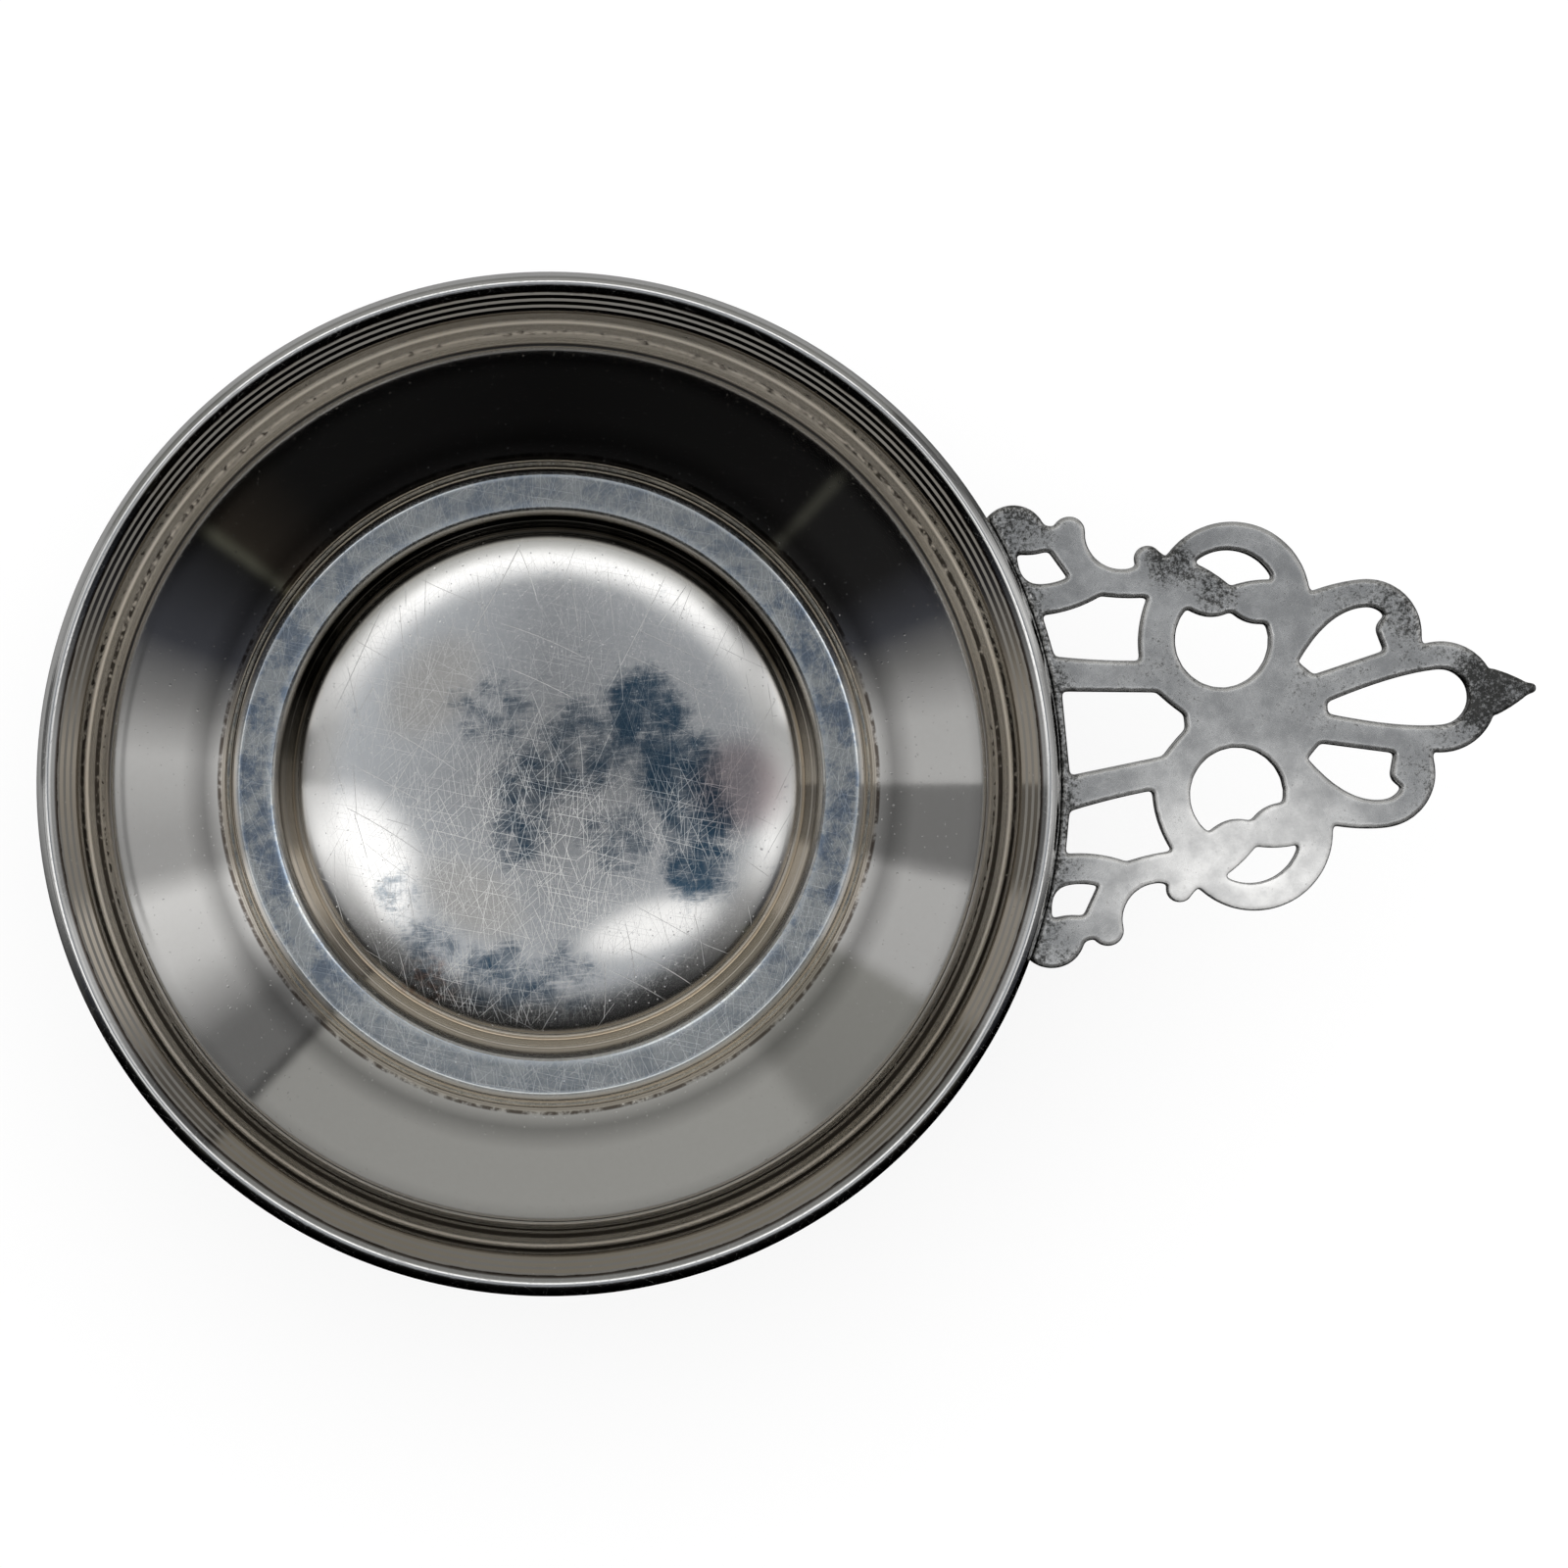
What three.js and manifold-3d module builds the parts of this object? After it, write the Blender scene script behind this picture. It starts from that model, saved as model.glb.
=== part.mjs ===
// A silver porringer: a shallow raised bowl with a domed middle, a half-round wire
// round its lip and one cast, pierced handle soldered under the wire.
// Millimetres, +Z up. The bowl stands on its base ring at z = 0, the handle points
// along +X, and the origin is on the table midway along the whole length.
import * as THREE from 'three';
import { mergeVertices } from 'three/addons/utils/BufferGeometryUtils.js';
import Module from 'manifold-3d';

const wasm = await Module();
wasm.setup();

// Overall
const rimRadius = 60;
const height = 42;
const wall = 1.0;
const solderGap = 0.3;
const facets = 60;

// Bowl: the line of its inner face, from the middle of the base to the lip
const domeRadius = 31.5;
const domeCurve = 125;
const domeStep = 2.05;
const domeRound = 1.4;
const stepRun = 1.85;
const stepRound = 4.9;
const ringWidth = 6.15;
const riserRun = 0.95;
const riserRise = 1.65;
const riserFoot = 2.0;
const riserRound = 1.3;
const sideStartSlope = 18.5;
const sideCurve = 40;
const bellySlope = 40;
const bellyInset = 2.4;
const neckInset = 8.15;
const neckDepth = 7.4;
const neckLength = 1.0;
const neckRound = 2.3;
const lipSlope = 32.8;
const reedCount = 3;
const reedWidth = 0.6;
const reedSteep = { along: 0.35, up: 0.85 };

// Rim wire, half-round, lying against the outside of the lip
const wireWidth = 2.6;
const wireHeight = 2.7;
const wireCrest = { from: 0.55, to: 1.2 };
const wireShoulder = 0.8;
const wireRound = { inner: 0.4, crest: 1, outer: 1.6, foot: 0.7 };

// Handle plate, its rail along the rim and the widths of its straps
const handleThickness = 2.3;
const handleDrop = 1.8;
const railWidth = 1.1;
const armWidth = 4.1;
const strapWidth = 3.2;
const eyeStrap = 4.1;

// Handle outline, made of discs: "side" is off the middle line, "out" past the rim's edge
// and "step" past the disc before
const scroll = { out: -3, side: 23.35, radius: 3.9 };
const knuckle = { step: 6.6, side: 23.45, radius: 1.85 };
const hollow = { step: 6.1, side: 22.85, radius: 4.4 };
const bead = { step: 2.75, side: 19.5, radius: 1.5 };
const lobe = { step: 9.35, side: 13.7, radius: 9.15 };
const petal = { step: 15.4, side: 8.2, radius: 6.4 };
const tip = { step: 7.9, radius: 6.5 };
const finial = { step: 11.2, length: 5, side: 2.75, waist: 1.1, nose: 0.6 };

// Round eye, set back from its lobe's centre, and the cloud of two scallops that cuts into it
const eye = { back: 1.6, side: 9.1, radius: 5.6, from: 132, to: 375 };
const cloud = { along: 1.4, up: 3.3, sag: 2.2 };

// The other piercings, each from the disc, the arm or the rail beside it
const crescent = { back: 0.5, from: 127, to: 18, cusp: 1.6, sag: 1.1 };
const scrollHole = { below: 1.8, height: 3.9, far: 1, toe: 3, sag: 0.5 };
const windowHole = { rail: 5, peakOut: 6.6, peakUp: 6.6, topUp: 5.9, topIn: 1.6, footUp: -1.5, sag: 0.3 };
const petalHole = { point: 8.4, pointDown: 2.5, heel: 1.7, cuspUp: 1.9, notchIn: 1.3, cornerDown: 2.2 };
const mouth = { root: 5, cheek: 3.8, throat: 0.9, sag: 0.3 };
const drop = { length: 13.4, blunt: 0.7, swell: 5 };

// Solder fillet in the corner under the handle
const filletLeg = 1.6;
const filletHollow = 0.35;
const filletHalfAngle = 22;

const degrees = Math.PI / 180;
const at = (x, y) => new THREE.Vector2(x, y);
const polar = (radius, angle) => at(radius * Math.cos(angle), radius * Math.sin(angle));

// A closed geometry becomes a manifold for cutting
function solid(geometry) {
  const bare = geometry.clone();
  bare.deleteAttribute('normal');
  bare.deleteAttribute('uv');
  const merged = mergeVertices(bare, 1e-4);
  return new wasm.Manifold(new wasm.Mesh({
    numProp: 3,
    vertProperties: new Float32Array(merged.attributes.position.array),
    triVerts: new Uint32Array(merged.index.array),
  }));
}

// and a manifold a geometry again
function geometryOf(manifold) {
  const { vertProperties, triVerts } = manifold.getMesh();
  const geometry = new THREE.BufferGeometry();
  geometry.setAttribute('position', new THREE.BufferAttribute(new Float32Array(vertProperties), 3));
  geometry.setIndex(new THREE.BufferAttribute(new Uint32Array(triVerts), 1));
  geometry.computeVertexNormals();
  return geometry;
}

// A section of radius and height, closed on itself or on the axis, turned round +Z
function turned(section) {
  const clockwise = THREE.ShapeUtils.area(section) < 0;
  const geometry = new THREE.LatheGeometry(clockwise ? [...section].reverse() : section, facets);
  geometry.rotateX(Math.PI / 2);
  return solid(geometry);
}

// A run of corners, each rounded to its own radius as far as its legs have room
function rounded(corners, steps = 2) {
  const line = [];
  corners.slice(1, -1).forEach(({ point, round }, i) => {
    const last = corners[i].point;
    const next = corners[i + 2].point;
    const back = last.clone().sub(point).normalize();
    const on = next.clone().sub(point).normalize();
    const half = Math.acos(THREE.MathUtils.clamp(back.dot(on), -1, 1)) / 2;
    const room = Math.min(last.distanceTo(point), next.distanceTo(point)) / 2;
    const reach = Math.min(round / Math.tan(half), room);
    const centre = back.clone().add(on).normalize().multiplyScalar(reach / Math.cos(half)).add(point);
    const start = back.multiplyScalar(reach).add(point).sub(centre);
    const end = on.multiplyScalar(reach).add(point).sub(centre);
    const sweep = Math.atan2(start.cross(end), start.dot(end));
    for (let k = 0; k <= steps; k++) {
      line.push(start.clone().rotateAround(at(0, 0), (sweep * k) / steps).add(centre));
    }
  });
  return line;
}

// The same line moved to its right as it runs, with mitred corners
function offset(line, distance) {
  const normals = line.slice(1).map((point, i) => {
    const along = point.clone().sub(line[i]).normalize();
    return at(along.y, -along.x);
  });
  return line.map((point, i) => {
    const before = normals[Math.max(i - 1, 0)];
    const after = normals[Math.min(i, normals.length - 1)];
    const mitre = distance / (1 + before.dot(after));
    return before.clone().add(after).multiplyScalar(mitre).add(point);
  });
}

// Radius of a rising line at one height
function radiusAt(line, level) {
  const i = line.findIndex((point, k) => k > 0 && point.y >= level && line[k - 1].y < level);
  const share = (level - line[i - 1].y) / (line[i].y - line[i - 1].y);
  return THREE.MathUtils.lerp(line[i - 1].x, line[i].x, share);
}

// Bowl, inner face of the base: the dome, its step down to the ring, the ring and the riser
const ringInner = domeRadius + stepRun;
const ringOuter = ringInner + ringWidth;
const riserTop = at(ringOuter + riserRun, wall + riserRise);
const sideSlope = sideStartSlope * degrees;
const bellyRadius = rimRadius - bellyInset;
const neckRadius = rimRadius - neckInset;

function baseLine() {
  const edge = at(domeRadius, wall + domeStep);
  const edgeAngle = Math.asin(domeRadius / domeCurve);
  const domeSteps = 5;
  const dome = [];
  for (let k = 0; k < domeSteps; k++) {
    const angle = (edgeAngle * k) / domeSteps;
    const rise = domeCurve * (Math.cos(angle) - Math.cos(edgeAngle));
    dome.push(at(domeCurve * Math.sin(angle), edge.y + rise));
  }
  return dome.concat(rounded([
    { point: dome[domeSteps - 1] },
    { point: edge, round: domeRound },
    { point: at(ringInner, wall), round: stepRound },
    { point: at(ringOuter, wall), round: riserFoot },
    { point: riserTop, round: riserRound },
    { point: riserTop.clone().add(polar(2 * riserRound, sideSlope)) },
  ]));
}

// Side: it leaves the riser on a wide curve, turns up in a tighter one to the widest of the
// belly, then draws in to the neck
const neckHeight = height - neckDepth;

function sideLine() {
  const riserSlope = Math.atan2(riserRise, riserRun);
  const line = [riserTop.clone().add(polar(riserRound * Math.tan((riserSlope - sideSlope) / 2), sideSlope))];
  const bend = (radius, from, to, steps) => {
    const centre = line[line.length - 1].clone().sub(polar(radius, from - Math.PI / 2));
    for (let k = 1; k <= steps; k++) {
      line.push(polar(radius, from + ((to - from) * k) / steps - Math.PI / 2).add(centre));
    }
  };
  const turnUp = bellySlope * degrees;
  bend(sideCurve, sideSlope, turnUp, 3);
  const room = bellyRadius - line[line.length - 1].x;
  bend(room / (1 - Math.sin(turnUp)), turnUp, Math.PI / 2, 5);
  const widest = line[line.length - 1];
  const pull = (neckHeight - widest.y) / 2;
  const upper = new THREE.CubicBezierCurve(
    widest,
    at(bellyRadius, widest.y + pull),
    at(neckRadius, neckHeight - pull),
    at(neckRadius, neckHeight),
  );
  return line.concat(upper.getPoints(5).slice(1));
}

// Lip: it flares straight from the neck to the reeds, which end against the wire
const wireInner = rimRadius - wireWidth;
const lipOuter = wireInner - solderGap;
const lipTop = height - wireShoulder;

function lipLine() {
  const reeds = reedCount * reedWidth;
  const end = at(lipOuter - reeds, lipTop - Math.tan(lipSlope * degrees) * reeds);
  return rounded([
    { point: at(neckRadius, neckHeight) },
    { point: at(neckRadius, neckHeight + neckLength), round: neckRound },
    { point: end },
  ], 3).concat([end]);
}

// Reeds: fine steps in the face of the lip, each a steep rise and a tread
function reedLine() {
  const start = lipLine().pop();
  const step = at(lipOuter, lipTop).sub(start).divideScalar(reedCount);
  const line = [];
  for (let reed = 0; reed < reedCount; reed++) {
    const foot = start.clone().addScaledVector(step, reed);
    line.push(foot.clone().add(at(step.x * reedSteep.along, step.y * reedSteep.up)), foot.clone().add(step));
  }
  return line;
}

function bowl() {
  const face = baseLine().concat(sideLine().slice(1), lipLine());
  const lipEdge = at(lipOuter, lipTop - wall / Math.cos(lipSlope * degrees));
  const back = offset([...face, at(lipOuter, lipTop)], wall).slice(0, -1);
  back[0].x = 0;
  return face.concat(reedLine(), [lipEdge], back.reverse());
}

// Half-round wire: a flat inner face and bottom, a narrow crest near the lip and a full outer side
const wireBottom = height - wireHeight;

function wireSection() {
  const inner = at(wireInner, wireBottom);
  const outer = at(rimRadius, wireBottom);
  const section = rounded([
    { point: inner },
    { point: outer, round: wireRound.foot },
    { point: at(rimRadius, lipTop), round: wireRound.outer },
    { point: at(wireInner + wireCrest.to, height), round: wireRound.crest },
    { point: at(wireInner + wireCrest.from, height), round: wireRound.crest },
    { point: at(wireInner, lipTop), round: wireRound.inner },
    { point: inner },
  ]);
  return [inner, ...section, inner.clone()];
}

// What the bowl and the wire fill, grown by the solder's gap: it trims the handle's root
const outerFace = offset(sideLine().concat(lipLine(), [at(lipOuter, lipTop)]), wall + solderGap);

function envelope() {
  const under = wireBottom - solderGap;
  const side = outerFace.filter((point) => point.y < under);
  const cover = height + solderGap;
  const core = turned([
    at(0, side[0].y),
    ...side,
    at(Math.min(radiusAt(outerFace, under), wireInner), under),
    at(wireInner, under),
    at(wireInner, cover),
    at(0, cover),
  ]);
  const round = offset(wireSection().slice(0, -1), solderGap).slice(1, -1);
  const inner = wireInner - wall;
  return core.add(turned([at(inner, under), ...round, at(inner, cover), at(inner, under)]));
}

// Handle: flat shapes of one thickness, joined and pierced
const plateBottom = height - handleDrop - handleThickness;
const curveSteps = 8;

function plate(outline, spare = 0) {
  const geometry = new THREE.ExtrudeGeometry(outline, {
    depth: handleThickness + 2 * spare,
    bevelEnabled: false,
    curveSegments: curveSteps,
  });
  geometry.translate(0, 0, plateBottom - spare);
  return solid(geometry);
}

function disc(x, y, radius) {
  const chord = 1.1;
  const steps = Math.max(2 * curveSteps, Math.round((2 * Math.PI * radius) / chord));
  const points = [];
  for (let k = 0; k < steps; k++) {
    points.push(polar(radius, (2 * Math.PI * k) / steps).add(at(x, y)));
  }
  return plate(new THREE.Shape(points));
}

const railRadius = rimRadius + railWidth;
const eyeRingRadius = eye.radius + eyeStrap;
const scrollX = rimRadius + scroll.out;
const knuckleX = scrollX + knuckle.step;
const hollowX = knuckleX + hollow.step;
const beadX = hollowX + bead.step;
const lobeX = beadX + lobe.step;
const petalX = lobeX + petal.step;
const tipX = petalX + tip.step;
const endX = tipX + finial.step;
const eyeX = lobeX - eye.back;

// How far along a circle's edge lies at a distance from its middle line
const chordAt = (radius, y) => Math.sqrt(radius * radius - y * y);

// A pen that draws one side of the handle, or its mirror image
function drawn(side, start) {
  const shape = new THREE.Shape();
  const flip = (point) => [point.x, point.y * side];
  shape.moveTo(...flip(start));
  const pen = {
    shape,
    line(end) {
      shape.lineTo(...flip(end));
      return pen;
    },
    curve(pull, end) {
      shape.quadraticCurveTo(...flip(pull), ...flip(end));
      return pen;
    },
    bend(pull, push, end) {
      shape.bezierCurveTo(...flip(pull), ...flip(push), ...flip(end));
      return pen;
    },
    arc(centre, radius, from, to) {
      const clockwise = from > to === side > 0;
      shape.absarc(...flip(centre), radius, from * degrees * side, to * degrees * side, clockwise);
      return pen;
    },
  };
  return pen;
}

// A half drawn from the middle line and back to it, closed with its mirror image
function bothSides(half) {
  const line = half.getPoints(curveSteps);
  const mirrored = line.filter((point) => point.y > 0).reverse().map((point) => at(point.x, -point.y));
  return new THREE.Shape([...line, ...mirrored]);
}

// Between curves' ends: a point halfway, moved down towards the middle line
const sagging = (start, end, sag) => start.clone().add(end).divideScalar(2).sub(at(0, sag));

// The plate under the discs of one side: a root along the rim and a web out to the tip
function rootOutline(side) {
  const rim = chordAt(wireInner, scroll.side);
  const knuckleTop = knuckle.side + knuckle.radius / 2;
  return drawn(side, at(rim, 0))
    .line(at(rim, scroll.side))
    .line(at(scrollX, scroll.side + scroll.radius / 2))
    .line(at((scrollX + knuckleX + knuckle.radius) / 2, knuckleTop))
    .line(at(knuckleX + knuckle.radius, knuckle.side))
    .line(at(hollowX, knuckle.side))
    .line(at(hollowX, bead.side))
    .line(at(beadX + bead.radius, bead.side + bead.radius / 3))
    .line(at(lobeX, lobe.side))
    .line(at(lobeX, 0))
    .shape;
}

function webOutline(side) {
  const petalTop = at(petalX, petal.side + petal.radius);
  return drawn(side, at(eyeX, 0))
    .line(at(lobeX, lobe.side))
    .line(at(lobeX + lobe.radius, lobe.side))
    .curve(at(petalX - petal.radius / 2, petalTop.y), petalTop)
    .line(at(petalX, petal.side))
    .line(at(tipX, tip.radius - wall / 2))
    .line(at(tipX, 0))
    .shape;
}

function sideOutline(side) {
  let outline = plate(rootOutline(side)).subtract(disc(hollowX, hollow.side * side, hollow.radius));
  outline = outline.add(plate(webOutline(side)));
  const discs = [[scrollX, scroll], [knuckleX, knuckle], [beadX, bead], [lobeX, lobe], [petalX, petal]];
  for (const [x, shape] of discs) {
    outline = outline.add(disc(x, shape.side * side, shape.radius));
  }
  return outline;
}

// Ogee point beyond the tip's disc, with a small round nose
function finialOutline() {
  const shoulder = at(endX - finial.length, finial.side);
  const waist = at(endX - finial.length / 3, finial.waist);
  const nose = at(endX - finial.nose, finial.nose);
  return bothSides(drawn(1, at(tipX, 0))
    .line(shoulder)
    .curve(at((shoulder.x + waist.x) / 2, shoulder.y - finial.nose), waist)
    .curve(at((waist.x + nose.x) / 2, nose.y * 1.1), nose)
    .arc(at(nose.x, 0), finial.nose, 90, 0)
    .shape);
}

// Beside the scroll: a rounded corner towards the rail and a straight outer edge
function scrollPiercing(side) {
  const top = scroll.side - scrollHole.below;
  const bottom = top - scrollHole.height;
  const corner = at(chordAt(railRadius, top), top);
  const far = at(rimRadius + scrollHole.far, top);
  const toe = at(rimRadius + scrollHole.toe, bottom + scrollHole.sag);
  const foot = at(rimRadius, bottom);
  const rail = chordAt(railRadius, bottom) - railWidth;
  return drawn(side, corner)
    .curve(sagging(corner, far, scrollHole.sag), far)
    .line(toe)
    .curve(at((toe.x + foot.x) / 2, bottom), foot)
    .bend(at(rail, bottom), at(corner.x, (top + bottom) / 2), corner)
    .shape;
}

// Between the two arms: an arc along the rail, two shallow scallops and the eye's round band
function windowPiercing(side) {
  const low = mouth.root + armWidth;
  const high = low + windowHole.rail;
  const onRail = (y) => at(chordAt(railRadius, y), y);
  const peak = at(rimRadius + windowHole.peakOut, low + windowHole.peakUp);
  const band = eyeX - eyeRingRadius;
  const top = at(band + windowHole.topIn, eye.side + windowHole.topUp);
  const foot = at(band, eye.side + windowHole.footUp);
  return drawn(side, onRail(low))
    .curve(onRail((low + high) / 2), onRail(high))
    .curve(at((rimRadius + peak.x) / 2, high), peak)
    .curve(sagging(peak, top, windowHole.sag), top)
    .curve(at(band - windowHole.sag, (top.y + foot.y) / 2), foot)
    .curve(sagging(foot, onRail(low), windowHole.sag), onRail(low))
    .shape;
}

// The eye: a round hole, its outer edge cut by the two scallops of the cloud
function eyePiercing(side) {
  const centre = at(eyeX, eye.side);
  const start = polar(eye.radius, eye.from * degrees).add(centre);
  const end = polar(eye.radius, eye.to * degrees).add(centre);
  const cusp = at(eyeX + cloud.along, eye.side + cloud.up);
  return drawn(side, start)
    .arc(centre, eye.radius, eye.from, eye.to)
    .curve(at((end.x + cusp.x) / 2 - cloud.sag / 4, end.y), cusp)
    .curve(sagging(start, cusp, cloud.sag * 0.75), start)
    .shape;
}

// The crescent that the cloud leaves inside the lobe
function crescentPiercing(side) {
  const radius = lobe.radius - strapWidth;
  const centre = at(lobeX - crescent.back, lobe.side);
  const start = polar(radius, crescent.from * degrees).add(centre);
  const end = polar(radius, crescent.to * degrees).add(centre);
  const cusp = at(lobeX, lobe.side + crescent.cusp);
  return drawn(side, start)
    .arc(centre, radius, crescent.from, crescent.to)
    .curve(sagging(end, cusp, -crescent.sag / 2), cusp)
    .curve(sagging(cusp, start, -crescent.sag / 2), start)
    .shape;
}

// The petal: a leaf with a pointed inner end and a cusped outer end
function petalPiercing(side) {
  const radius = petal.radius - strapWidth;
  const point = at(petalX - petalHole.point, petal.side - petalHole.pointDown);
  const heel = at(point.x + petalHole.heel, point.y - petalHole.heel);
  const crown = at(petalX, petal.side + radius);
  const cusp = at(petalX + radius * 0.75, petal.side + petalHole.cuspUp);
  const notch = at(petalX + petalHole.notchIn, petal.side);
  const corner = at(petalX + radius * 0.6, petal.side - petalHole.cornerDown);
  return drawn(side, point)
    .bend(at((point.x + heel.x) / 2 + petalHole.heel, petal.side + 1), at(petalX - radius, crown.y), crown)
    .curve(at(petalX + radius / 2, crown.y), cusp)
    .curve(at(notch.x - petalHole.notchIn / 4, (cusp.y + notch.y) / 2), notch)
    .line(corner)
    .line(heel)
    .shape;
}

// The mouth on the middle line, between the two lower arms
function mouthPiercing() {
  const onBand = (y) => at(eyeX - chordAt(eyeRingRadius, eye.side - y), y);
  const cheek = onBand(mouth.cheek);
  const throat = onBand(mouth.throat);
  const rail = chordAt(railRadius, mouth.root);
  return bothSides(drawn(1, at(rail, 0))
    .line(at(rail, mouth.root))
    .line(cheek)
    .curve(sagging(cheek, throat, mouth.sag), throat)
    .line(at(throat.x, 0))
    .shape);
}

// The teardrop inside the tip
function dropPiercing() {
  const radius = tip.radius - strapWidth;
  const start = tipX - drop.length;
  return bothSides(drawn(1, at(start, 0))
    .line(at(start, drop.blunt))
    .curve(at(tipX - drop.swell, radius), at(tipX, radius))
    .arc(at(tipX, 0), radius, 90, 0)
    .shape);
}

function handle() {
  const outlines = [sideOutline(1), sideOutline(-1), disc(tipX, 0, tip.radius), plate(finialOutline())];
  const piercings = [mouthPiercing(), dropPiercing()];
  for (const side of [1, -1]) {
    piercings.push(scrollPiercing(side), windowPiercing(side), eyePiercing(side));
    piercings.push(crescentPiercing(side), petalPiercing(side));
  }
  let body = outlines.reduce((joined, outline) => joined.add(outline));
  for (const outline of piercings) {
    body = body.subtract(plate(outline, wall));
  }
  return body.subtract(envelope());
}

// Solder: a hollow fillet in the corner between the bowl's outer face and the handle's underside
function solder() {
  const top = plateBottom - solderGap;
  const bottom = top - filletLeg;
  const wallTop = at(radiusAt(outerFace, top), top);
  const wallFoot = at(radiusAt(outerFace, bottom), bottom);
  const edge = at(wallTop.x + filletLeg, top);
  const middle = edge.clone().add(wallFoot).divideScalar(2);
  const sunk = wallTop.clone().sub(middle).multiplyScalar(filletHollow).add(middle);
  const reach = 2 * rimRadius;
  const wedge = new THREE.Shape([
    at(0, 0),
    polar(reach, -filletHalfAngle * degrees),
    polar(reach, filletHalfAngle * degrees),
  ]);
  const sector = new THREE.ExtrudeGeometry(wedge, { depth: height, bevelEnabled: false });
  return turned([wallTop, edge, sunk, wallFoot, wallTop.clone()]).intersect(solid(sector));
}

function piece(name, manifold, color, roughness) {
  const material = new THREE.MeshStandardMaterial({ color, roughness, metalness: 1 });
  const mesh = new THREE.Mesh(geometryOf(manifold), material);
  mesh.name = name;
  return mesh;
}

const porringer = new THREE.Group();
porringer.position.x = rimRadius - (rimRadius + endX) / 2;
porringer.add(piece('bowl', turned(bowl()), 0xc4c2bc, 0.14));
porringer.add(piece('rim_wire', turned(wireSection()), 0xcfccc6, 0.12));
porringer.add(piece('handle', handle(), 0xa9a8a6, 0.32));
porringer.add(piece('handle_solder', solder(), 0x77726c, 0.5));

export default porringer;
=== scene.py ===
# A silver porringer seen from above: a round bowl with a domed middle, a half-round wire
# soldered round its lip, and one flat cast handle pierced with eyes, petals and a drop.
import math

import bmesh
import bpy
from mathutils import Matrix, Vector


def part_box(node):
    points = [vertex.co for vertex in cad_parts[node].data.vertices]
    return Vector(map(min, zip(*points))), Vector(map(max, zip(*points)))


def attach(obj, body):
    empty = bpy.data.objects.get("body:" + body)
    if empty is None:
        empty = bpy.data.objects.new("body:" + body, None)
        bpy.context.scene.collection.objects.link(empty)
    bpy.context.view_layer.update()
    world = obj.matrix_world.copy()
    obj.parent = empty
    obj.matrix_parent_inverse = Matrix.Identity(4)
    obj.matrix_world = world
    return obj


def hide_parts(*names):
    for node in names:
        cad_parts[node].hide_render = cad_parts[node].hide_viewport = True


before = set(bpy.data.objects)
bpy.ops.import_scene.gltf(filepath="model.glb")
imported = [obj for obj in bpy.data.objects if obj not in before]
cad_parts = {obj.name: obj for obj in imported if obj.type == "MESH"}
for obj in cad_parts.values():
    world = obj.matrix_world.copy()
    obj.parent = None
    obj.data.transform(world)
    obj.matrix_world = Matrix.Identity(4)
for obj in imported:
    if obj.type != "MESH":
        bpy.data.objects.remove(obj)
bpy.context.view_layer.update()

scene = bpy.context.scene
mm = 0.001

# Camera: it looks straight down on the middle of the bowl from 0.55 m over the rim, and is
# turned so that the handle rises a little to the right.
rim_low, rim_high = (Vector(corner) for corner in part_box("rim_wire"))
bowl_middle = (rim_low + rim_high) / 2 * Vector((1, 0, 0))
handle_rise = math.radians(5.58)
camera_height = 592

lens = bpy.data.cameras.new("camera")
lens.sensor_width = 36
lens.lens = 108.16
lens.shift_x = 0.15
camera = bpy.data.objects.new("camera", lens)
scene.collection.objects.link(camera)
camera.location = bowl_middle + Vector((0, 0, camera_height)) * mm
camera.rotation_euler = (0, 0, -handle_rise)
scene.camera = camera

# Studio: a pale floor in a square tent, with a soft window on the east and west, a grey side
# on the north, black cloth on the south, and a dim blue-grey ceiling with a bright edge.
scene.view_settings.view_transform = "Standard"


class Reading:
    """An output of a shader node, which goes into sums as a number does."""

    def __init__(self, bench, socket):
        self.bench = bench
        self.socket = socket

    def sum(self, operation, *values):
        return self.bench.node("ShaderNodeMath", {"operation": operation}, dict(enumerate(values)))

    def __add__(self, other):
        return self.sum("ADD", self, other)

    def __radd__(self, other):
        return self.sum("ADD", other, self)

    def __sub__(self, other):
        return self.sum("SUBTRACT", self, other)

    def __rsub__(self, other):
        return self.sum("SUBTRACT", other, self)

    def __mul__(self, other):
        return self.sum("MULTIPLY", self, other)

    def __rmul__(self, other):
        return self.sum("MULTIPLY", other, self)

    def __truediv__(self, other):
        return self.sum("DIVIDE", self, other)

    def __abs__(self):
        return self.sum("ABSOLUTE", self)

    def most(self, other):
        return self.sum("MAXIMUM", self, other)

    def least(self, other):
        return self.sum("MINIMUM", self, other)


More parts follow.
